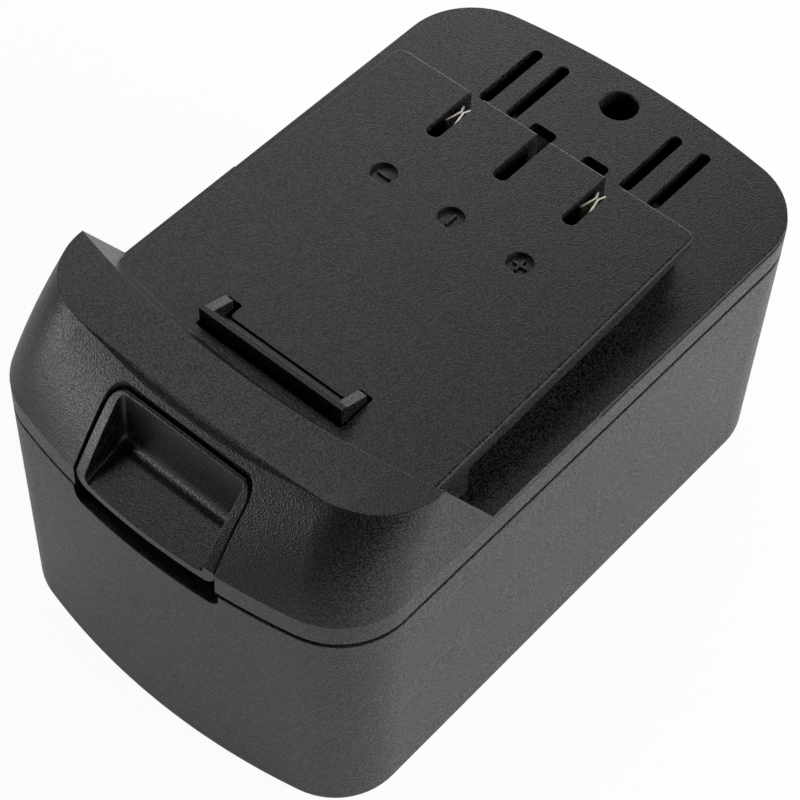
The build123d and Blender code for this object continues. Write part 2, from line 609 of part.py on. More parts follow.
def rim_line():
    """Chamfer at the top of the band, under the line round the deck's edge."""
    kept = loft([at_z(NOSE_FOOT_Z - RIM_LIP) * body_plan(), at_z(NOSE_FOOT_Z) * body_plan(RIM_LIP)], ruled=True)
    return behind_nose(extrude(at_z(NOSE_FOOT_Z - RIM_LIP) * body_plan(-WALL), RIM_LIP) - kept)


def cover_outside():
    """Solid outer form of the cover: band and deck, slide platform, stops and nose."""
    band = extrude(at_z(COVER_BOTTOM_Z) * body_plan(), NOSE_FOOT_Z - COVER_BOTTOM_Z)
    band = fillet(band.faces().sort_by(Axis.Z)[0].edges(), BAND_EDGE_R)
    neck = block(-NECK_HALF, NECK_HALF, CREST_MIDDLE_Y, PLATFORM_REAR_Y, DECK_Z, FLANGE_Z)
    nose = soften_crease(nose_form())
    body = band - rim_line() + deck_plate() + neck + platform_flange()
    return body + groove_stop(-1) + groove_stop(1) + nose


def cover_inside():
    """Room inside the cover: under the deck, under the platform roof and in the nose."""
    room = extrude(at_z(COVER_BOTTOM_Z - WALL) * body_plan(WALL), DECK_Z - DECK - COVER_BOTTOM_Z + WALL)
    neck_in = NECK_HALF - NECK_WALL
    z0 = DECK_Z - 2 * DECK
    room += block(-neck_in, neck_in, CREST_MIDDLE_Y, PLATFORM_REAR_Y - NECK_WALL, z0, ROOF_Z)
    nose = nose_form(WALL, NOSE_FOOT_Z)
    foot = nose.faces().sort_by(Axis.Z)[0]
    return room + nose + extrude(foot, 2 * DECK, dir=(0, 0, -1))


def case_boss(outside, x, y):
    """Boss that takes one case screw, from the post of the lower case up into the cover."""
    high = post(x, y, COVER_BOTTOM_Z, CREST_Z, CASE_BOSS_R) & outside
    return high + post(x, y, CASE_POST_TOP_Z, COVER_BOTTOM_Z, CASE_BOSS_R)


def upper_cover():
    """Top moulding, with every opening cut."""
    outside = cover_outside()
    cover = outside - cover_inside()
    rebate_top = SEAM_Z + TONGUE_HEIGHT + TONGUE_CLEARANCE
    rebate = extrude(at_z(SEAM_Z) * body_plan(WALL - TONGUE - TONGUE_CLEARANCE), rebate_top - SEAM_Z)
    cover -= rebate
    tip_z = CASE_POST_TOP_Z - CASE_POST_LAND + CASE_SCREW_LENGTH
    for x, y in CASE_SCREW_SPOTS:
        cover += case_boss(outside, x, y)
        cover -= post(x, y, 0, tip_z + SCREW_TIP_ROOM, CASE_SCREW_D / 2 + SCREW_CLEARANCE)
    bore_foot_z = DECK_Z - PIN_BORE_DEPTH - PIN_BOSS_WALL
    cover += post(0, PIN_BORE_Y, bore_foot_z, DECK_Z, PIN_BORE_D / 2 + PIN_BOSS_WALL) & outside
    opening_front = FRONT_Y - WALL
    cover -= extrude(at_z(SEAM_Z - WALL) * button_plan(LATCH_GAP, opening_front), CREST_Z - SEAM_Z)
    cover -= catch_slot() + deck_cutouts() + pin_bore()
    for x in CONTACT_XS:
        cover -= terminal_slot(x)
        cover -= post(x, RECESS_Y, PLATFORM_Z - RECESS_DEPTH, PLATFORM_Z + WALL, RECESS_D / 2)
    return cover


def lower_case():
    """Tray that holds the cells, with four screw posts and a notch under the button."""
    outside = loft([body_plan(DRAFT_INSET), at_z(SEAM_Z) * body_plan()], ruled=True)
    outside = fillet(outside.faces().sort_by(Axis.Z)[0].edges(), BOTTOM_EDGE_R)
    outside = fillet(outside.faces().sort_by(Axis.Z)[-1].edges(), SEAM_EDGE_R)
    room = loft([at_z(FLOOR) * body_plan(DRAFT_INSET + WALL), at_z(SEAM_Z) * body_plan(WALL)], ruled=True)
    case = outside - room
    tongue_plan = body_plan(WALL - TONGUE) - body_plan(WALL)
    case += extrude(at_z(SEAM_Z - SEAM_EDGE_R) * tongue_plan, TONGUE_HEIGHT + SEAM_EDGE_R)
    bore_r = CASE_SCREW_HEAD_D / 2 + COUNTERBORE_CLEARANCE
    seat_z = CASE_POST_TOP_Z - CASE_POST_LAND
    for x, y in CASE_SCREW_SPOTS:
        case += post(x, y, FLOOR, CASE_POST_TOP_Z, CASE_POST_R)
        case -= post(x, y, -FLOOR, seat_z, bore_r)
        case -= post(x, y, seat_z, SEAM_Z, CASE_SCREW_D / 2 + SCREW_CLEARANCE)
    notch = block(-NOTCH_HALF, NOTCH_HALF, FRONT_Y - WALL, FRONT_Y + 2 * WALL, NOTCH_BOTTOM_Z, SEAM_Z + OVERRUN)
    notch = fillet(notch.edges().filter_by(Axis.Y).group_by(Axis.Z)[0], NOTCH_CORNER_R)
    return case - notch


def button_pocket():
    """Finger pocket: leaning back wall, soft fold and a floor that falls to the front."""
    back_y = BUTTON_REAR_Y - POCKET_BACK_WALL
    fold_y = back_y - POCKET_BACK_LEAN
    fall = (POCKET_FLOOR_BACK_Z - POCKET_FLOOR_FRONT_Z) / (fold_y - FRONT_Y)
    out_y = FRONT_Y - OVERRUN
    points = [(back_y, CREST_Z), (fold_y, POCKET_FLOOR_BACK_Z),
              (out_y, POCKET_FLOOR_FRONT_Z - fall * OVERRUN), (out_y, CREST_Z)]
    top = BUTTON_HALF - POCKET_RIM
    low = top - POCKET_DRAFT * (CREST_Z - LATCH_LOW_Z) / (CREST_Z - POCKET_FLOOR_FRONT_Z)
    corners = [(-low, 0, LATCH_LOW_Z), (low, 0, LATCH_LOW_Z), (top, 0, CREST_Z), (-top, 0, CREST_Z)]
    front_view = Polyline(*corners, close=True)
    pocket = side_profile(points, WIDTH / 2) & extrude(make_face(front_view), LENGTH, both=True)
    fold = Vector(0, fold_y, POCKET_FLOOR_BACK_Z)
    pocket = fillet(pocket.edges().filter_by(Axis.X).sort_by_distance(fold)[0], POCKET_FOLD_R)
    sides = pocket.faces().sort_by(Axis.X)
    ends = sides[0].edges() + sides[-1].edges()
    inner = [e for e in ends if e.center().Z < CREST_Z and e.center().Y > out_y]
    return fillet(inner, POCKET_SIDE_R)


def button_body():
    """Finger button, whose rim follows the nose surface."""
    column = extrude(at_z(BUTTON_BOTTOM_Z) * button_plan(0.0, FRONT_Y - WALL), CREST_Z - BUTTON_BOTTOM_Z)
    sides = column.faces().sort_by(Axis.Z)[0].edges().filter_by(Axis.Y)
    column = fillet(sides, BUTTON_LOWER_R)
    lower = extrude(at_z(BUTTON_BOTTOM_Z) * body_plan(BUTTON_SINK), NOSE_FOOT_Z - BUTTON_BOTTOM_Z)
    button = column & (nose_form(BUTTON_SINK, NOSE_FOOT_Z) + lower)
    rim = [e for e in button.edges() if e.center().Z > NOSE_FOOT_Z + WALL and e.geom_type != GeomType.LINE]
    return fillet(rim, BUTTON_RIM_R) - button_pocket()


def catch():
    """Catch bar with a sloped back, and an arm at each end that leads the tool over it."""
    y = CATCH_FRONT_Y
    back_y = y + CATCH_DEPTH
    bar = side_profile([(y, WEB_BOTTOM_Z), (y, CATCH_TOP_Z), (y + CATCH_LAND, CATCH_TOP_Z),
                        (back_y, CATCH_TOP_Z - CATCH_BACK_DROP), (back_y, WEB_BOTTOM_Z)], CATCH_HALF)
    end_y = y + CATCH_ARM_REACH
    arm = side_profile([(y, WEB_BOTTOM_Z), (y, CATCH_TOP_Z),
                        (end_y, CATCH_TOP_Z - CATCH_ARM_DROP), (end_y, WEB_BOTTOM_Z)], CATCH_ARM_WIDTH / 2)
    arm_x = CATCH_HALF - CATCH_ARM_WIDTH / 2
    body = bar + Pos(-arm_x, 0, 0) * arm + Pos(arm_x, 0, 0) * arm
    edge = body.edges().sort_by_distance(Vector(0, y, CATCH_TOP_Z))[0]
    return fillet(edge, CATCH_EDGE_R)


def release_latch():
    """Button, web and catch in one moulding, with two pins that hold the springs."""
    end_y = CATCH_FRONT_Y + CATCH_ARM_REACH
    web = block(-CATCH_HALF, CATCH_HALF, BUTTON_REAR_Y - POCKET_BACK_WALL / 2, end_y, WEB_BOTTOM_Z, WEB_TOP_Z)
    latch = button_body() + web + catch()
    pin_r = SPRING_COIL_R - SPRING_WIRE_D / 2 - SPRING_PIN_CLEARANCE
    for side in (-1, 1):
        latch += post(side * SPRING_X, SPRING_Y, WEB_BOTTOM_Z - SPRING_PIN_LENGTH, WEB_BOTTOM_Z, pin_r)
    return latch


def helix_point(angle, rise):
    return Vector(SPRING_COIL_R * math.cos(angle), SPRING_COIL_R * math.sin(angle), rise * angle)


def helix_direction(angle, rise):
    return Vector(-SPRING_COIL_R * math.sin(angle), SPRING_COIL_R * math.cos(angle), rise).normalized()


def latch_spring():
    """Coil spring as one tube along quarter turns, each made of two tangent arcs."""
    height = SPRING_LENGTH - SPRING_WIRE_D
    turn = 2 * math.pi
    rise = height / (SPRING_TURNS * turn)
    quarter = turn / 4
    edges = []
    for i in range(SPRING_TURNS * 4):
        a, b = i * quarter, (i + 1) * quarter
        p, q = helix_point(a, rise), helix_point(b, rise)
        u, w = helix_direction(a, rise), helix_direction(b, rise)
        chord = q - p
        k = 2 * (1 - u.dot(w))
        c = chord.dot(u + w)
        d = (-c + math.sqrt(c * c + k * chord.dot(chord))) / k
        middle = (p + q + (u - w) * d) * 0.5
        edges.append(TangentArc(p, middle, tangent=u))
        edges.append(TangentArc(middle, q, tangent=edges[-1] % 1))
    path = Wire(edges)
    section = Plane(path @ 0, z_dir=path % 0) * Circle(SPRING_WIRE_D / 2)
    return Pos(0, 0, SPRING_WIRE_D / 2) * sweep(section, path=path)


def spring_clearance():
    """Least gap between neighbouring coils, worked out on points."""
    pitch = (SPRING_LENGTH - SPRING_WIRE_D) / SPRING_TURNS
    rise = pitch / (2 * math.pi)
    samples = [i * math.pi / 12 for i in range(-12, 13)]
    nearest = min((helix_point(2 * math.pi + a, rise) - helix_point(0, rise)).length for a in samples)
    return nearest - SPRING_WIRE_D


def latch_retainer():
    """Plate on the cell holders with a cup under each latch spring."""
    hw = RETAINER_HALF_WIDTH
    z0, z1 = HOLDER_TOP_Z, RETAINER_TOP_Z
    plate = rounded_slab(-hw, hw, RETAINER_FRONT_Y, RETAINER_REAR_Y, z0, z1, RETAINER_CORNER_R)
    cup_in = SPRING_COIL_R + SPRING_WIRE_D / 2 + CUP_CLEARANCE
    for side in (-1, 1):
        cup = post(side * SPRING_X, SPRING_Y, z0, z1 + CUP_HEIGHT, cup_in + CUP_WALL)
        plate += cup - post(side * SPRING_X, SPRING_Y, z1, z1 + 2 * CUP_HEIGHT, cup_in)
    for x, y in RETAINER_SCREW_SPOTS:
        plate -= post(x, y, z0 - WALL, z1 + WALL, SMALL_SCREW_D / 2 + SCREW_CLEARANCE)
    guard_top_z = WEB_BOTTOM_Z - LATCH_TRAVEL - GUARD_TOP_GAP
    x, y = CATCH_HALF + GUARD_OVERHANG, BUTTON_REAR_Y + GUARD_GAP
    return plate + block(-x, x, y, y + GUARD_THICKNESS, z0, guard_top_z)


def cell():
    """One round cell along X, its cap and rolled groove at the +X end."""
    r, half = CELL_D / 2, CELL_LENGTH / 2
    e, cap_r = CELL_EDGE_R, CELL_CAP_D / 2
    shoulder = half - CELL_CAP_HEIGHT
    groove = shoulder - CELL_GROOVE_PLACE
    w = CELL_GROOVE_WIDTH / 2
    line = Polyline((-half, 0), (-half, r - e), (-half + e, r), (groove - w, r), (groove, r - CELL_GROOVE_DEPTH),
                    (groove + w, r), (shoulder - e, r), (shoulder, r - e), (shoulder, cap_r), (half, cap_r),
                    (half, 0), close=True)
    return revolve(make_face(line), Axis.X)


def cell_holder():
    """Holder for the +X ends of the cells, with ties that reach the middle of the pack."""
    half = CELL_LENGTH / 2
    mid_z = (HOLDER_BOTTOM_Z + HOLDER_TOP_Z) / 2
    outline = RectangleRounded(2 * HOLDER_HALF_Y, HOLDER_TOP_Z - HOLDER_BOTTOM_Z, HOLDER_CORNER_R)
    plane = Plane((half - HOLDER_DEPTH, 0, mid_z), x_dir=(0, 1, 0), z_dir=(1, 0, 0))
    holder = extrude(plane * outline, HOLDER_DEPTH)
    for y in (CELL_YS[0], CELL_YS[CELL_COLUMNS // 2], CELL_YS[-1]):
        for z in (HOLDER_BOTTOM_Z, HOLDER_TOP_Z - HOLDER_SKIN):
            holder += block(0, half - HOLDER_DEPTH, y - HOLDER_TIE_WIDTH / 2, y + HOLDER_TIE_WIDTH / 2,
                            z, z + HOLDER_SKIN)
    for y in CELL_YS:
        for z in CELL_ZS:
            holder -= Pos(half - HOLDER_DEPTH / 2, y, z) * Rot(0, 90, 0) * Cylinder(CELL_BORE_R, HOLDER_DEPTH * 2)
    for x, y in BOARD_SCREW_SPOTS:
        if x > 0:
            holder += post(x, y, HOLDER_TOP_Z, BOARD_BOTTOM_Z, BOARD_POST_D / 2)
            foot_z = BOARD_TOP_Z - SMALL_SCREW_LENGTH - SCREW_TIP_ROOM
            holder -= post(x, y, foot_z, BOARD_TOP_Z, SMALL_SCREW_D / 2 + SCREW_CLEARANCE)
    for x, y in RETAINER_SCREW_SPOTS:
        if x > 0:
            foot_z = RETAINER_TOP_Z - SMALL_SCREW_LENGTH - SCREW_TIP_ROOM
            holder -= post(x, y, foot_z, RETAINER_TOP_Z, SMALL_SCREW_D / 2 + SCREW_CLEARANCE)
    window = THERMISTOR_D / 2 + THERMISTOR_WINDOW
    return holder - post(THERMISTOR_X, CELL_YS[2], TOP_CELL_Z, HOLDER_TOP_Z + WALL, window)


def weld_strip(side, columns):
    """Nickel strip across the cell ends of one group, with a tab up to the board."""
    face = side * CELL_LENGTH / 2
    x0, x1 = sorted((face, face + side * STRIP_THICKNESS))
    y0 = CELL_YS[columns[0]] - STRIP_HALF_WIDTH
    y1 = CELL_YS[columns[-1]] + STRIP_HALF_WIDTH
    top_z = CELL_ZS[-1] + STRIP_HALF_HEIGHT
    strip = block(x0, x1, y0, y1, CELL_ZS[0] - STRIP_HALF_HEIGHT, top_z)
    tab_y = max((y0 + y1) / 2, BOARD_FRONT_Y + STRIP_TAB_WIDTH)
    t0, t1 = tab_y - STRIP_TAB_WIDTH / 2, tab_y + STRIP_TAB_WIDTH / 2
    tip_z = BOARD_TOP_Z + STRIP_TAB_OVER_BOARD
    run_z = CELL_ZS[-1] + CELL_D / 2 + STRIP_RUN_GAP
    if t1 > y1:
        strip += block(x0, x1, y0, y1, top_z, run_z)
        strip += block(x0, x1, y0, t1, run_z, run_z + STRIP_RUN_HEIGHT)
        return strip + block(x0, x1, t0, t1, run_z, tip_z)
    return strip + block(x0, x1, t0, t1, top_z, tip_z)


def side_insulator(side):
    """Thin sheet over the weld strips."""
    face = side * (CELL_LENGTH / 2 + STRIP_THICKNESS)
    x0, x1 = sorted((face, face + side * INSULATOR_THICKNESS))
    y = HOLDER_HALF_Y - INSULATOR_MARGIN
    return block(x0, x1, -y, y, HOLDER_BOTTOM_Z + INSULATOR_MARGIN, HOLDER_TOP_Z - INSULATOR_MARGIN)


def base_pad():
    """Foam pad between the floor and the cell holders."""
    x = CELL_LENGTH / 2 - PAD_SETBACK
    y = HOLDER_HALF_Y - PAD_SETBACK
    return block(-x, x, -y, y, FLOOR, HOLDER_BOTTOM_Z)


def circuit_board():
    """Board on the holder posts, with holes for its four screws."""
    b = BOARD_HALF
    board = rounded_slab(-b, b, BOARD_FRONT_Y, BOARD_REAR_Y, BOARD_BOTTOM_Z, BOARD_TOP_Z, BOARD_CORNER_R)
    for x, y in BOARD_SCREW_SPOTS:
        board -= post(x, y, BOARD_BOTTOM_Z - WALL, BOARD_TOP_Z + WALL, SMALL_SCREW_D / 2 + SCREW_CLEARANCE)
    return board


def on_board(x, y, size):
    """Body of one component that stands on the board."""
    w, l, h = size
    return block(x - w / 2, x + w / 2, y - l / 2, y + l / 2, BOARD_TOP_Z, BOARD_TOP_Z + h)


def thermistor():
    """Bead under the board that feels the middle cell through a window in the holder."""
    return post(THERMISTOR_X, CELL_YS[2], CELL_ZS[-1] + CELL_D / 2 + THERMISTOR_GAP, BOARD_BOTTOM_Z, THERMISTOR_D / 2)


def terminal_block():
    """Moulded block under the slots, with an open chamber for each contact."""
    hw = BLOCK_HALF_WIDTH
    body = block(-hw, hw, BLOCK_FRONT_Y, BLOCK_REAR_Y, BOARD_TOP_Z, ROOF_Z - BLOCK_ROOF_GAP)
    t = CONTACT_THICKNESS / 2 + CONTACT_TAIL_CLEARANCE
    w = CONTACT_TAIL_WIDTH / 2 + CONTACT_TAIL_CLEARANCE
    tail_y = CONTACT_BACK_Y + CONTACT_THICKNESS / 2
    for x in CONTACT_XS:
        body -= block(x - CHAMBER_WIDTH / 2, x + CHAMBER_WIDTH / 2, BLOCK_FRONT_Y + BLOCK_WALL,
                      BLOCK_REAR_Y + WALL, BLOCK_BASE_TOP_Z, ROOF_Z)
        body -= block(x - w, x + w, tail_y - t, tail_y + t, BOARD_TOP_Z - WALL, BLOCK_BASE_TOP_Z)
    return body


def contact_leaf(side, top_z):
    """One spring leaf seen from above: straight, in to the pinch point, then out to a flared mouth."""
    t = side * CONTACT_THICKNESS
    inner = [(side * CONTACT_HALF, CONTACT_BACK_Y), (side * CONTACT_HALF, CONTACT_BEND_Y),
             (side * CONTACT_PINCH_HALF, CONTACT_PINCH_Y), (side * CONTACT_MOUTH_HALF, CONTACT_MOUTH_Y)]
    outer = [(x + t, y) for x, y in reversed(inner)]
    leaf = extrude(at_z(BLOCK_BASE_TOP_Z) * make_face(Polyline(*inner, *outer, close=True)), top_z - BLOCK_BASE_TOP_Z)
    return leaf - block(-CHAMBER_WIDTH, CHAMBER_WIDTH, CONTACT_BACK_Y, LEAF_RISE_Y, CONTACT_BACK_TOP_Z, PLATFORM_Z)


def spring_contact(x):
    """Folded spring contact with a tail that stands on the board; the middle one is lower."""
    top_z = PLATFORM_Z - (POWER_LEAF_SINK if x else SIGNAL_LEAF_SINK)
    back_top_z = min(top_z, CONTACT_BACK_TOP_Z)
    half = CONTACT_HALF + CONTACT_THICKNESS
    y0, y1 = CONTACT_BACK_Y, CONTACT_BACK_Y + CONTACT_THICKNESS
    back = block(-half, half, y0, y1, BLOCK_BASE_TOP_Z, back_top_z)
    tail = block(-CONTACT_TAIL_WIDTH / 2, CONTACT_TAIL_WIDTH / 2, y0, y1, BOARD_TOP_Z, BLOCK_BASE_TOP_Z)
    return Pos(x, 0, 0) * (back + tail + contact_leaf(-1, top_z) + contact_leaf(1, top_z))


def screw(diameter, length, head_d, head_h):
    """Screw pointing up, its head below the origin, with a six-sided socket."""
    shank = Cylinder(diameter / 2, length, align=(Align.CENTER, Align.CENTER, Align.MIN))
    head = Cylinder(head_d / 2, head_h, align=(Align.CENTER, Align.CENTER, Align.MAX))
    depth = head_h * socket_depth_share
    socket = extrude(RegularPolygon(head_d * socket_width_share / 2, 6), depth)
    return shank + head - Pos(0, 0, -head_h) * socket


def case_screws():
    seat_z = CASE_POST_TOP_Z - CASE_POST_LAND
    one = screw(CASE_SCREW_D, CASE_SCREW_LENGTH, CASE_SCREW_HEAD_D, CASE_SCREW_HEAD_H)
    return [Pos(x, y, seat_z) * one for x, y in CASE_SCREW_SPOTS]


def small_screws(spots, seat_z):
    """Screws that go down into the cell holders."""
    one = Rot(180, 0, 0) * screw(SMALL_SCREW_D, SMALL_SCREW_LENGTH, SMALL_SCREW_HEAD_D, SMALL_SCREW_HEAD_H)
    return [Pos(x, y, seat_z) * one for x, y in spots]


def transistors():
    return [on_board(side * TRANSISTOR_X, BOARD_FRONT_Y + TRANSISTOR_PLACE, TRANSISTOR_SIZE) for side in (-1, 1)]


def capacitors():
    xs = [CAPACITOR_PITCH * (i - (CAPACITOR_COUNT - 1) / 2) for i in range(CAPACITOR_COUNT)]
    return [on_board(x, BOARD_FRONT_Y + CAPACITOR_PLACE, CAPACITOR_SIZE) for x in xs]


def model():
    """Every piece by name."""
    parts = {"lower_case": lower_case(), "upper_cover": upper_cover(), "release_latch": release_latch()}
    spring = latch_spring()
    parts["latch_spring_left"] = Pos(-SPRING_X, SPRING_Y, RETAINER_TOP_Z) * spring
    parts["latch_spring_right"] = Pos(SPRING_X, SPRING_Y, RETAINER_TOP_Z) * spring
    parts["latch_retainer"] = latch_retainer()
    parts["retainer_screws"] = Compound(small_screws(RETAINER_SCREW_SPOTS, RETAINER_TOP_Z))
    one = cell()
    number = 0
    for column, y in enumerate(CELL_YS):
        turn = 0 if column % 2 else 180
        for z in CELL_ZS:
            number += 1
            parts[f"cell_{number:02d}"] = Pos(0, y, z) * Rot(0, 0, turn) * one
    holder = cell_holder()
    parts["cell_holder_right"] = holder
    parts["cell_holder_left"] = mirror(holder, Plane.YZ)
    groups = {"right": (1, [(0, 1), (2, 3), (4,)]), "left": (-1, [(0,), (1, 2), (3, 4)])}
    for name, (side, columns) in groups.items():
        for i, group in enumerate(columns):
            parts[f"weld_strip_{name}_{i + 1}"] = weld_strip(side, group)
        parts[f"side_insulator_{name}"] = side_insulator(side)
    parts["base_pad"] = base_pad()
    parts["circuit_board"] = circuit_board()
    parts["board_screws"] = Compound(small_screws(BOARD_SCREW_SPOTS, BOARD_TOP_Z))
    parts["power_transistors"] = Compound(transistors())
    parts["control_chip"] = on_board(0, BOARD_FRONT_Y + CHIP_PLACE, CHIP_SIZE)
    parts["board_capacitors"] = Compound(capacitors())
    parts["thermistor"] = thermistor()
    parts["terminal_block"] = terminal_block()
    for name, x in zip(("negative", "signal", "positive"), CONTACT_XS):
        parts[f"terminal_{name}"] = spring_contact(x)
    parts["case_screws"] = Compound(case_screws())
    return parts


os.makedirs("parts", exist_ok=True)
print("least gap between spring coils", round(spring_clearance(), 2))
for name, shape in model().items():
    export_step(shape, f"parts/{name}.step")
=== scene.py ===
import math

import bmesh
import bpy
from mathutils import Matrix, Vector
from mathutils.geometry import intersect_point_line


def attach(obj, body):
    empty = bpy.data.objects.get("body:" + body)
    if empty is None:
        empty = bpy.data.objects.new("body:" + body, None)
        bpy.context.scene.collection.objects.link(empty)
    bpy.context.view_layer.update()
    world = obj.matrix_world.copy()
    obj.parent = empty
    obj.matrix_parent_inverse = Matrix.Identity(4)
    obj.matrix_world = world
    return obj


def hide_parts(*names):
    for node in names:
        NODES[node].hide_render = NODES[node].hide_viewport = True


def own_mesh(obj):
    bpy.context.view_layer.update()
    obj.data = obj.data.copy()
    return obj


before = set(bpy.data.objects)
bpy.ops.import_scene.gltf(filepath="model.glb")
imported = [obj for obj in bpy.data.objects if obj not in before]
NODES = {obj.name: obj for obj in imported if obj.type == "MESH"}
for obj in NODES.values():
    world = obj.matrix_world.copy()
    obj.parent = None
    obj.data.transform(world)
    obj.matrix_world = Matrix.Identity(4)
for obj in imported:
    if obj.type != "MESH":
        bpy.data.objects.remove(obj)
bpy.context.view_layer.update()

# Slide-on battery pack, dressed for a studio picture.
# Lengths are in metres; MM turns millimetres into metres.
MM = 0.001

# Plastic and metal
ABS_IOR = 1.5
CLOUD_MM = 14             # size of the slow change of gloss over a moulding
CLOUD_SPREAD = 0.03
TIP_SHINE = 0.5           # how much smoother the tips of the grain are than its pits
PIT_SHADE_LEVEL = 0.44          # levels of the grain between which its colour turns from painted shade in the pits to painted glints on the tips
TIP_SPARKLE_LEVEL = 0.56
LINE_STRETCH = 0.05       # working lines are twenty times as long as wide
LINE_SPREAD = 0.06
SHADE_FADE_MM = 0.6           # length over which the painted shade on a contact fades into its bright plating

# Tray's top edge in the scene, in mm
ROUND_Z = 46.4            # start of the CAD round
ROUND_TOP_Z = 47.0
CRISP_Z = 46.8            # start of the smaller round
CRISP_SHARE = 1 / 3
ROUND_REACH = 0.8         # points this near to the outline belong to the round

# Button of the latch, in mm
BUTTON_HALF = 13.8
BUTTON_FRONT_Y = -60.4
BUTTON_REAR_Y = -50.2
BUTTON_WIDER = 0.35
FIT = 0.02                # points this near to a level lie on it

# Signs in the recesses of the platform, in mm
SIGN_HALF = 1.3
SIGN_THICK = 0.25         # half the width of a bar
SIGN_PITCH = 13.96
SIGN_Y = 9.35
SIGN_FLOOR_Z = 60.7
SIGN_HEIGHT = 0.45
SIGN_EDGE = 0.08

# Camera fitted to the picture: angles in degrees, place in mm
CAMERA_AZIMUTH = 38.694
CAMERA_ELEVATION = 52.429
CAMERA_ROLL = 2.879
CAMERA_PLACE = (158.73, -199.28, 354.72)
CAMERA_LENS = 112.84
CAMERA_SENSOR = 36

# Studio, in metres
LAMP_DISTANCE = 1.3
LAMP_AIM_Z = 0.03
GLINT_DISTANCE = 1.2
TABLE_REACH = 3.0
WORLD_STRENGTH = 0.03
TABLE_SEEN = 0.95         # share of plain white that the camera sees; the rest shows the shadow
TABLE_MIRRORED = 0.28     # share of plain white that the plastic mirrors


def colour(text):
    """Linear colour of an sRGB hex value such as "#2b2b2c"."""
    channels = [int(text[i:i + 2], 16) / 255 for i in (1, 3, 5)]
    return tuple(c / 12.92 if c <= 0.04045 else ((c + 0.055) / 1.055) ** 2.4 for c in channels) + (1.0,)


def add(material, kind, values=None, links=None, **settings):
    """One shader node with its settings, socket values and links."""
    tree = material.node_tree
    made = tree.nodes.new(kind)
    for name, value in settings.items():
        setattr(made, name, value)
    for name, value in (values or {}).items():
        made.inputs[name].default_value = value
    for name, source in (links or {}).items():
        tree.links.new(source, made.inputs[name])
    return made


def empty_material(name):
    """Material without nodes."""
    material = bpy.data.materials.new(name)
    material.use_nodes = True
    material.node_tree.nodes.clear()
    return material


def place_on_piece(material):
    """Place on the piece in metres, on which the patterns are drawn."""
    return add(material, "ShaderNodeTexCoord").outputs["Object"]


def surface(material, values, links):
    """Shader of a material with its output."""
    shader = add(material, "ShaderNodeBsdfPrincipled", values, links)
    add(material, "ShaderNodeOutputMaterial", links={"Surface": shader.outputs["BSDF"]})


def tones(material, pattern, dark, light, low=0.0, high=1.0):
    """Colour that turns from dark to light while a pattern rises from one level to another."""
    ramp = add(material, "ShaderNodeValToRGB", links={"Fac": pattern})
    for stop, level, text in zip(ramp.color_ramp.elements, (low, high), (dark, light)):
        stop.position = level
        stop.color = colour(text)
    return ramp.outputs["Color"]


def around(material, middle, spread, pattern):
    """Value that stays within a spread of its middle and follows a pattern."""
    limits = {"To Min": middle - spread, "To Max": middle + spread}
    return add(material, "ShaderNodeMapRange", limits, {"Value": pattern}).outputs["Result"]


def grain_roughness(material, place, grain, roughness):
    """Roughness of a moulding: smoother on the tips of the grain, with slow clouds from handling."""
    clouds = {"Scale": 1 / (CLOUD_MM * MM), "Detail": 2.0}
    cloud = add(material, "ShaderNodeTexNoise", clouds, {"Vector": place}).outputs["Fac"]
    worn = around(material, roughness, CLOUD_SPREAD, cloud)
    tips = add(material, "ShaderNodeMath", {1: -TIP_SHINE, 2: TIP_SHINE / 2}, {0: grain},
               operation="MULTIPLY_ADD")
    return add(material, "ShaderNodeMath", links={0: worn, 1: tips.outputs[0]}).outputs[0]


def moulded_plastic(name, dark, light, roughness, relief_mm, edge_mm, grain_mm=0.28):
    """Black ABS from a spark-eroded tool: a fine even grain whose tips shine and whose pits stay black.
    Its colour paints glints on the tips of the grain and shade in its pits.

    The real grain is about 0.1 mm across; it is drawn coarser so that it shows.
    """
    material = empty_material(name)
    place = place_on_piece(material)
    noise = {"Scale": 1 / (grain_mm * MM), "Detail": 1.0, "Roughness": 0.5}
    grain = add(material, "ShaderNodeTexNoise", noise, {"Vector": place}).outputs["Fac"]
    rounded = add(material, "ShaderNodeBevel", {"Radius": edge_mm * MM}, samples=6)
    bump = add(material, "ShaderNodeBump", {"Strength": 1.0, "Distance": relief_mm * MM},
               {"Height": grain, "Normal": rounded.outputs["Normal"]})
    surface(material, {"IOR": ABS_IOR}, {
        # Painted shade in the pits of the grain and painted glints on its tips.
        "Base Color": tones(material, grain, dark, light, PIT_SHADE_LEVEL, TIP_SPARKLE_LEVEL),
        "Roughness": grain_roughness(material, place, grain, roughness),
        "Normal": bump.outputs["Normal"],
    })
    return material


def painted_slot_shade(material, place, plating, shade_y):
    """Plating that stays bright towards the mouth and is painted nearly black, as shade, in front of one
    place.
    """
    parts = add(material, "ShaderNodeSeparateXYZ", links={"Vector": place})
    limits = {"From Min": shade_y * MM, "From Max": (shade_y + SHADE_FADE_MM) * MM}
    # Painted shade: worn is 0 further into the slot, where the plating turns nearly black, and 1 towards
    # the mouth.
    worn = add(material, "ShaderNodeMapRange", limits, {"Value": parts.outputs["Y"]})
    mix = add(material, "ShaderNodeMix", {"A": colour("#15130e")},
              {"Factor": worn.outputs["Result"], "B": plating}, data_type="RGBA")
    return mix.outputs["Result"]


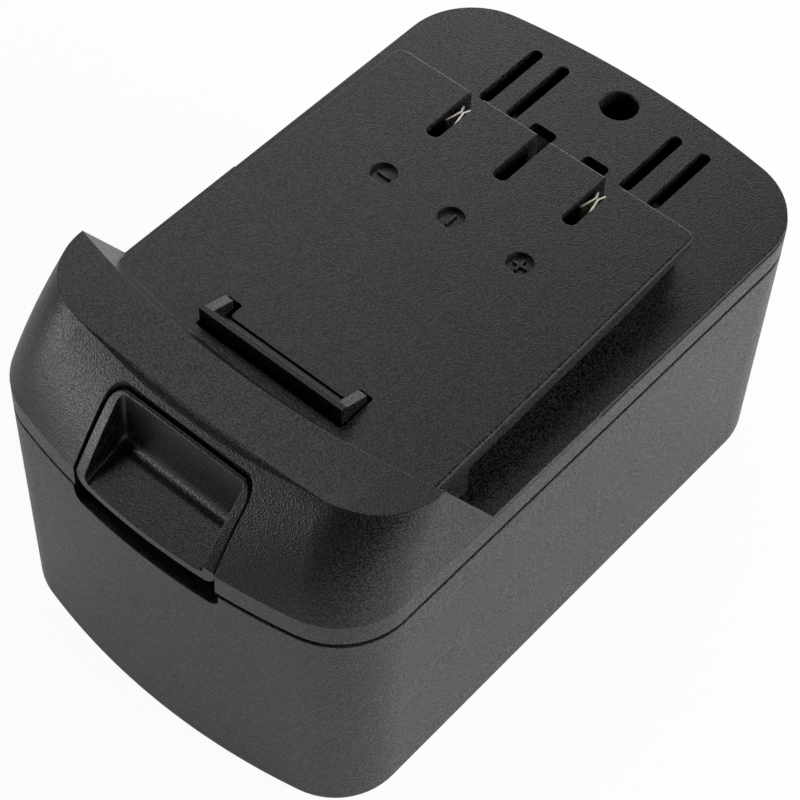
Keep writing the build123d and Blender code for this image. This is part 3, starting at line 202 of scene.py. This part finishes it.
def metal(name, dark, light, roughness, line_mm, along, relief_mm=0.002, shade_y=None):
    """Metal whose working left fine lines along one axis, as drawing or rolling does."""
    material = empty_material(name)
    place = place_on_piece(material)
    stretch = [1.0, 1.0, 1.0]
    stretch[along] = LINE_STRETCH
    mapped = add(material, "ShaderNodeMapping", {"Scale": stretch}, {"Vector": place})
    lines = add(material, "ShaderNodeTexNoise", {"Scale": 1 / (line_mm * MM), "Detail": 3.0},
                {"Vector": mapped.outputs["Vector"]}).outputs["Fac"]
    tint = tones(material, lines, dark, light)
    # Painted shade further into the slot, where a place for it is given.
    if shade_y is not None:
        tint = painted_slot_shade(material, place, tint, shade_y)
    bump = add(material, "ShaderNodeBump", {"Distance": relief_mm * MM}, {"Height": lines})
    surface(material, {"Metallic": 1.0}, {
        "Base Color": tint,
        "Roughness": around(material, roughness, LINE_SPREAD, lines),
        "Normal": bump.outputs["Normal"],
    })
    return material


def speckled(name, dark, light, roughness, grain_mm, relief_mm, pattern="ShaderNodeTexNoise"):
    """Non-metal with two close tones in a fine pattern."""
    material = empty_material(name)
    place = place_on_piece(material)
    spots = add(material, pattern, {"Scale": 1 / (grain_mm * MM)}, {"Vector": place}).outputs[0]
    bump = add(material, "ShaderNodeBump", {"Distance": relief_mm * MM}, {"Height": spots})
    surface(material, {"Roughness": roughness}, {
        "Base Color": tones(material, spots, dark, light),
        "Normal": bump.outputs["Normal"],
    })
    return material


def plastics():
    """Mouldings by the start of their pieces' names."""
    # Sparkles most, as the tray's sides mirror the bright table; its lightest grain tone adds the
    # strongest painted glints.
    case = moulded_plastic("spark_eroded_abs_case", "#010101", "#343435",
                           roughness=0.33, relief_mm=0.12, edge_mm=0.25)
    # An even satin black on the large top faces.
    cover = moulded_plastic("spark_eroded_abs_cover", "#010101", "#2e2e2f",
                            roughness=0.33, relief_mm=0.055, edge_mm=0.15)
    # Smoother and darker than the cover, so that the button stands out from it.
    latch = moulded_plastic("satin_abs_latch", "#010101", "#202021",
                            roughness=0.28, relief_mm=0.035, edge_mm=0.2)
    # Plain dull black behind the slots.
    inner = moulded_plastic("plain_abs_inner", "#0a0a0b", "#111112",
                            roughness=0.45, relief_mm=0.01, edge_mm=0.2, grain_mm=0.5)
    return {"lower_case": case, "upper_cover": cover, "release_latch": latch, "latch_retainer": inner,
            "cell_holder": inner, "terminal_block": inner}


def metals():
    """Metal parts by the start of their pieces' names; along is the axis of the working lines."""
    # Warm grey with rolling lines.
    nickel = metal("rolled_nickel_strip", "#b9b5a8", "#cfccc2", roughness=0.3, line_mm=0.25, along=1)
    # Cool grey with drawing lines.
    wire = metal("drawn_spring_wire", "#8d8f93", "#b4b6ba", roughness=0.3, line_mm=0.2, along=2)
    # A little darker and duller than the wire.
    zinc = metal("zinc_plated_steel", "#85888c", "#a9acb0", roughness=0.35, line_mm=0.3, along=2)
    # Cream white at the mouth of the slot, painted nearly black further in as shade.
    tinned = metal("tinned_brass_contact", "#dedacb", "#f6f2e6", roughness=0.5, line_mm=0.25, along=2,
                   shade_y=25.4)
    # Brass painted nearly black as shade, as the middle slot shows no metal.
    shade_painted_brass = metal("shade_painted_brass_contact", "#15130e", "#241f16", roughness=0.4, line_mm=0.25, along=2)
    return {"weld_strip": nickel, "latch_spring": wire, "retainer_screws": zinc, "board_screws": zinc,
            "case_screws": zinc, "terminal_negative": tinned, "terminal_positive": tinned,
            "terminal_signal": shade_painted_brass}


def other_materials():
    """Cells, board, insulation and foam by the start of their pieces' names."""
    # Glossy blue skin.
    sleeve = speckled("heat_shrunk_pvc_sleeve", "#2b5f86", "#2f668e", roughness=0.35, grain_mm=1.5,
                      relief_mm=0.01)
    # Very dark green with a faint mottle.
    laminate = speckled("lacquered_glass_laminate", "#060807", "#0a0d0b", roughness=0.35, grain_mm=0.8,
                        relief_mm=0.005, pattern="ShaderNodeTexVoronoi")
    # Dull dark grey.
    resin = speckled("moulded_epoxy_resin", "#161617", "#202022", roughness=0.5, grain_mm=0.3,
                     relief_mm=0.005)
    # Matt tan.
    fired = speckled("fired_ceramic", "#9c7f55", "#b39567", roughness=0.4, grain_mm=0.2, relief_mm=0.003)
    # Cream with paper fibres.
    paper = speckled("insulating_paper", "#c9c2a8", "#ddd6bd", roughness=0.8, grain_mm=0.4, relief_mm=0.01)
    # Dead matt black with small cells.
    foam = speckled("closed_cell_foam", "#1e1e20", "#2f2f32", roughness=0.9, grain_mm=0.6, relief_mm=0.1,
                    pattern="ShaderNodeTexVoronoi")
    return {"cell_0": sleeve, "cell_1": sleeve, "circuit_board": laminate, "power_transistors": resin,
            "control_chip": resin, "thermistor": resin, "board_capacitors": fired, "side_insulator": paper,
            "base_pad": foam}


def dress():
    """Give every piece its material and return the cover's."""
    by_name = plastics() | metals() | other_materials()
    for name, piece in NODES.items():
        match = max((start for start in by_name if name.startswith(start)), key=len)
        piece.data.materials.clear()
        piece.data.materials.append(by_name[match])
    return by_name["upper_cover"]


def nearest_on_loop(loop, place):
    """Point of a closed outline in plan that is nearest to a place."""
    found = []
    for start, end in zip(loop, loop[1:] + loop[:1]):
        point, share = intersect_point_line(place, start, end)
        found.append(start.lerp(end, min(max(share, 0.0), 1.0)))
    return min(found, key=lambda point: (point - place).length)


def stand_in(name, node, body):
    """Copy of a CAD piece that is shown in its place and may be reshaped."""
    piece = bpy.data.objects.new(name, NODES[node].data.copy())
    bpy.context.scene.collection.objects.link(piece)
    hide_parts(node)
    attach(piece, body)
    return piece


def crisp_case():
    """Tray with a smaller round on its top edge, so that the seam stays a black gap.

    The CAD round of 0.6 mm catches light up to the cover; here it is a third of that size.
    """
    points = stand_in("case_tray", "lower_case", "pack").data.vertices
    rim = {(round(v.co.x, 6), round(v.co.y, 6)) for v in points if abs(v.co.z - ROUND_Z * MM) < FIT * MM}
    loop = [Vector((x, y, 0)) for x, y in sorted(rim, key=lambda c: math.atan2(c[1], c[0]))]
    for v in points:
        if (ROUND_Z - FIT) * MM < v.co.z < (ROUND_TOP_Z + FIT) * MM:
            place = Vector((v.co.x, v.co.y, 0))
            wall = nearest_on_loop(loop, place)
            inward = place - wall
            if inward.length < ROUND_REACH * MM:
                place = wall + inward * CRISP_SHARE
            v.co = (place.x, place.y, CRISP_Z * MM + (v.co.z - ROUND_Z * MM) * CRISP_SHARE)


def close_button():
    """Latch whose button is wider on each side, which leaves a gap as narrow as in the picture."""
    for v in stand_in("latch_button", "release_latch", "latch").data.vertices:
        if v.co.y < (BUTTON_REAR_Y + FIT) * MM and abs(v.co.x) < (BUTTON_HALF + FIT) * MM:
            sideways = v.co.x / (BUTTON_HALF * MM)
            back = (v.co.y - BUTTON_FRONT_Y * MM) / ((BUTTON_REAR_Y - BUTTON_FRONT_Y) * MM)
            v.co.x += BUTTON_WIDER * MM * sideways
            v.co.y += BUTTON_WIDER * MM * back


def shortening_springs():
    """Latch springs as copies with meshes of their own, shown in place of the CAD springs."""
    for side in ("left", "right"):
        spring = stand_in(f"spring_{side}", f"latch_spring_{side}", "pack")
        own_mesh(spring)


def raised_form(name, outline, x):
    """Mesh of a sign that stands on the floor of its recess, from its outline in plan."""
    mesh = bpy.data.meshes.new(name)
    form = bmesh.new()
    corners = [form.verts.new(((x + u) * MM, (SIGN_Y + v) * MM, SIGN_FLOOR_Z * MM)) for u, v in outline]
    raised = bmesh.ops.extrude_face_region(form, geom=[form.faces.new(corners)])
    top = [v for v in raised["geom"] if isinstance(v, bmesh.types.BMVert)]
    bmesh.ops.translate(form, verts=top, vec=(0, 0, SIGN_HEIGHT * MM))
    bmesh.ops.recalc_face_normals(form, faces=form.faces)
    form.to_mesh(mesh)
    form.free()
    return mesh


def mark(name, outline, x, material):
    """Raised sign with softened edges, at a place across the platform."""
    mesh = raised_form(name, outline, x)
    piece = bpy.data.objects.new(name, mesh)
    bpy.context.scene.collection.objects.link(piece)
    edge = piece.modifiers.new("soft_edge", "BEVEL")
    edge.width = SIGN_EDGE * MM
    edge.segments = 2
    mesh.materials.append(material)
    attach(piece, "pack")


def polarity_marks(material):
    """A lying bar, an upright bar and a cross in the three recesses on the platform."""
    h, t = SIGN_HALF, SIGN_THICK
    bar = [(-h, -t), (h, -t), (h, t), (-h, t)]
    upright = [(-t, -h), (t, -h), (t, h), (-t, h)]
    cross = [(-h, -t), (-t, -t), (-t, -h), (t, -h), (t, -t), (h, -t),
             (h, t), (t, t), (t, h), (-t, h), (-t, t), (-h, t)]
    mark("mark_minus", bar, -SIGN_PITCH, material)
    mark("mark_middle", upright, 0, material)
    mark("mark_plus", cross, SIGN_PITCH, material)


def camera():
    """Camera from the front right, high up, as the picture was taken."""
    azimuth, elevation, roll = (math.radians(a) for a in (CAMERA_AZIMUTH, CAMERA_ELEVATION, CAMERA_ROLL))
    look = Vector((-math.cos(elevation) * math.sin(azimuth), math.cos(elevation) * math.cos(azimuth),
                   -math.sin(elevation)))
    level = Vector((math.cos(azimuth), math.sin(azimuth), 0))
    right = Matrix.Rotation(roll, 3, -look) @ level
    up = right.cross(look)
    turn = Matrix((right, up, -look)).transposed().to_4x4()
    data = bpy.data.cameras.new("camera")
    data.sensor_width = CAMERA_SENSOR
    data.lens = CAMERA_LENS
    data.clip_start = 10 * MM
    eye = bpy.data.objects.new("camera", data)
    eye.matrix_world = Matrix.Translation(Vector(CAMERA_PLACE) * MM) @ turn
    bpy.context.scene.collection.objects.link(eye)
    bpy.context.scene.camera = eye


def softbox(name, azimuth, elevation, width, height, power, distance=LAMP_DISTANCE, mirrored=True):
    """Soft rectangular lamp that faces the pack, with its azimuth from the rear towards the right side.

    A lamp that isn't mirrored lights the pack and the table but leaves no glare on the plastic.
    """
    a, e = math.radians(azimuth), math.radians(elevation)
    place = Vector((math.cos(e) * math.sin(a), math.cos(e) * math.cos(a), math.sin(e))) * distance
    data = bpy.data.lights.new(name, "AREA")
    data.shape = "RECTANGLE"
    data.size = width
    data.size_y = height
    data.energy = power
    lamp = bpy.data.objects.new(name, data)
    lamp.location = place
    lamp.rotation_euler = (Vector((0, 0, LAMP_AIM_Z)) - place).to_track_quat("-Z", "Y").to_euler()
    lamp.visible_glossy = mirrored
    bpy.context.scene.collection.objects.link(lamp)


def lamps():
    """The key lamp from the rear right with a weak glint of its own, and fills from the other sides."""
    softbox("lamp_rear_right", azimuth=62, elevation=20, width=1.5, height=0.7, power=25.0, mirrored=False)
    softbox("lamp_rear_right_glint", azimuth=62, elevation=20, width=1.4, height=0.65, power=3.0,
            distance=GLINT_DISTANCE)
    softbox("lamp_rear_left", azimuth=322, elevation=30, width=0.7, height=0.8, power=3.0)
    softbox("lamp_front_left", azimuth=220, elevation=12, width=0.7, height=0.4, power=4.4)
    softbox("lamp_high_left", azimuth=280, elevation=62, width=0.8, height=0.7, power=2.5)
    softbox("lamp_rear_low", azimuth=345, elevation=12, width=0.8, height=0.2, power=2.5)


def surroundings():
    """Faint even light from all round."""
    world = bpy.data.worlds.new("surroundings")
    bpy.context.scene.world = world
    world.use_nodes = True
    background = world.node_tree.nodes["Background"]
    background.inputs["Color"].default_value = colour("#ffffff")
    background.inputs["Strength"].default_value = WORLD_STRENGTH


def white_table():
    """Matt white that the camera and the plastic see partly as plain white, and that keeps the shadow."""
    white = empty_material("white_table")
    matt = add(white, "ShaderNodeBsdfDiffuse", {"Color": colour("#f4f4f4")})
    glow = add(white, "ShaderNodeEmission", {"Color": colour("#ffffff"), "Strength": 1.0})
    rays = add(white, "ShaderNodeLightPath")
    mirrored = add(white, "ShaderNodeMath", {1: TABLE_MIRRORED}, {0: rays.outputs["Is Glossy Ray"]},
                   operation="MULTIPLY")
    seen = add(white, "ShaderNodeMath", {1: TABLE_SEEN},
               {0: rays.outputs["Is Camera Ray"], 2: mirrored.outputs[0]}, operation="MULTIPLY_ADD")
    mix = add(white, "ShaderNodeMixShader",
              links={0: seen.outputs[0], 1: matt.outputs[0], 2: glow.outputs[0]})
    add(white, "ShaderNodeOutputMaterial", links={"Surface": mix.outputs[0]})
    return white


def table_top():
    """Flat table under the pack."""
    mesh = bpy.data.meshes.new("table")
    r = TABLE_REACH
    mesh.from_pydata([(-r, -r, 0), (r, -r, 0), (r, r, 0), (-r, r, 0)], [], [(0, 1, 2, 3)])
    table = bpy.data.objects.new("table", mesh)
    bpy.context.scene.collection.objects.link(table)
    mesh.materials.append(white_table())


cover_abs = dress()
crisp_case()
close_button()
shortening_springs()
polarity_marks(cover_abs)
camera()
surroundings()
lamps()
table_top()
bpy.context.scene.view_settings.view_transform = "Standard"
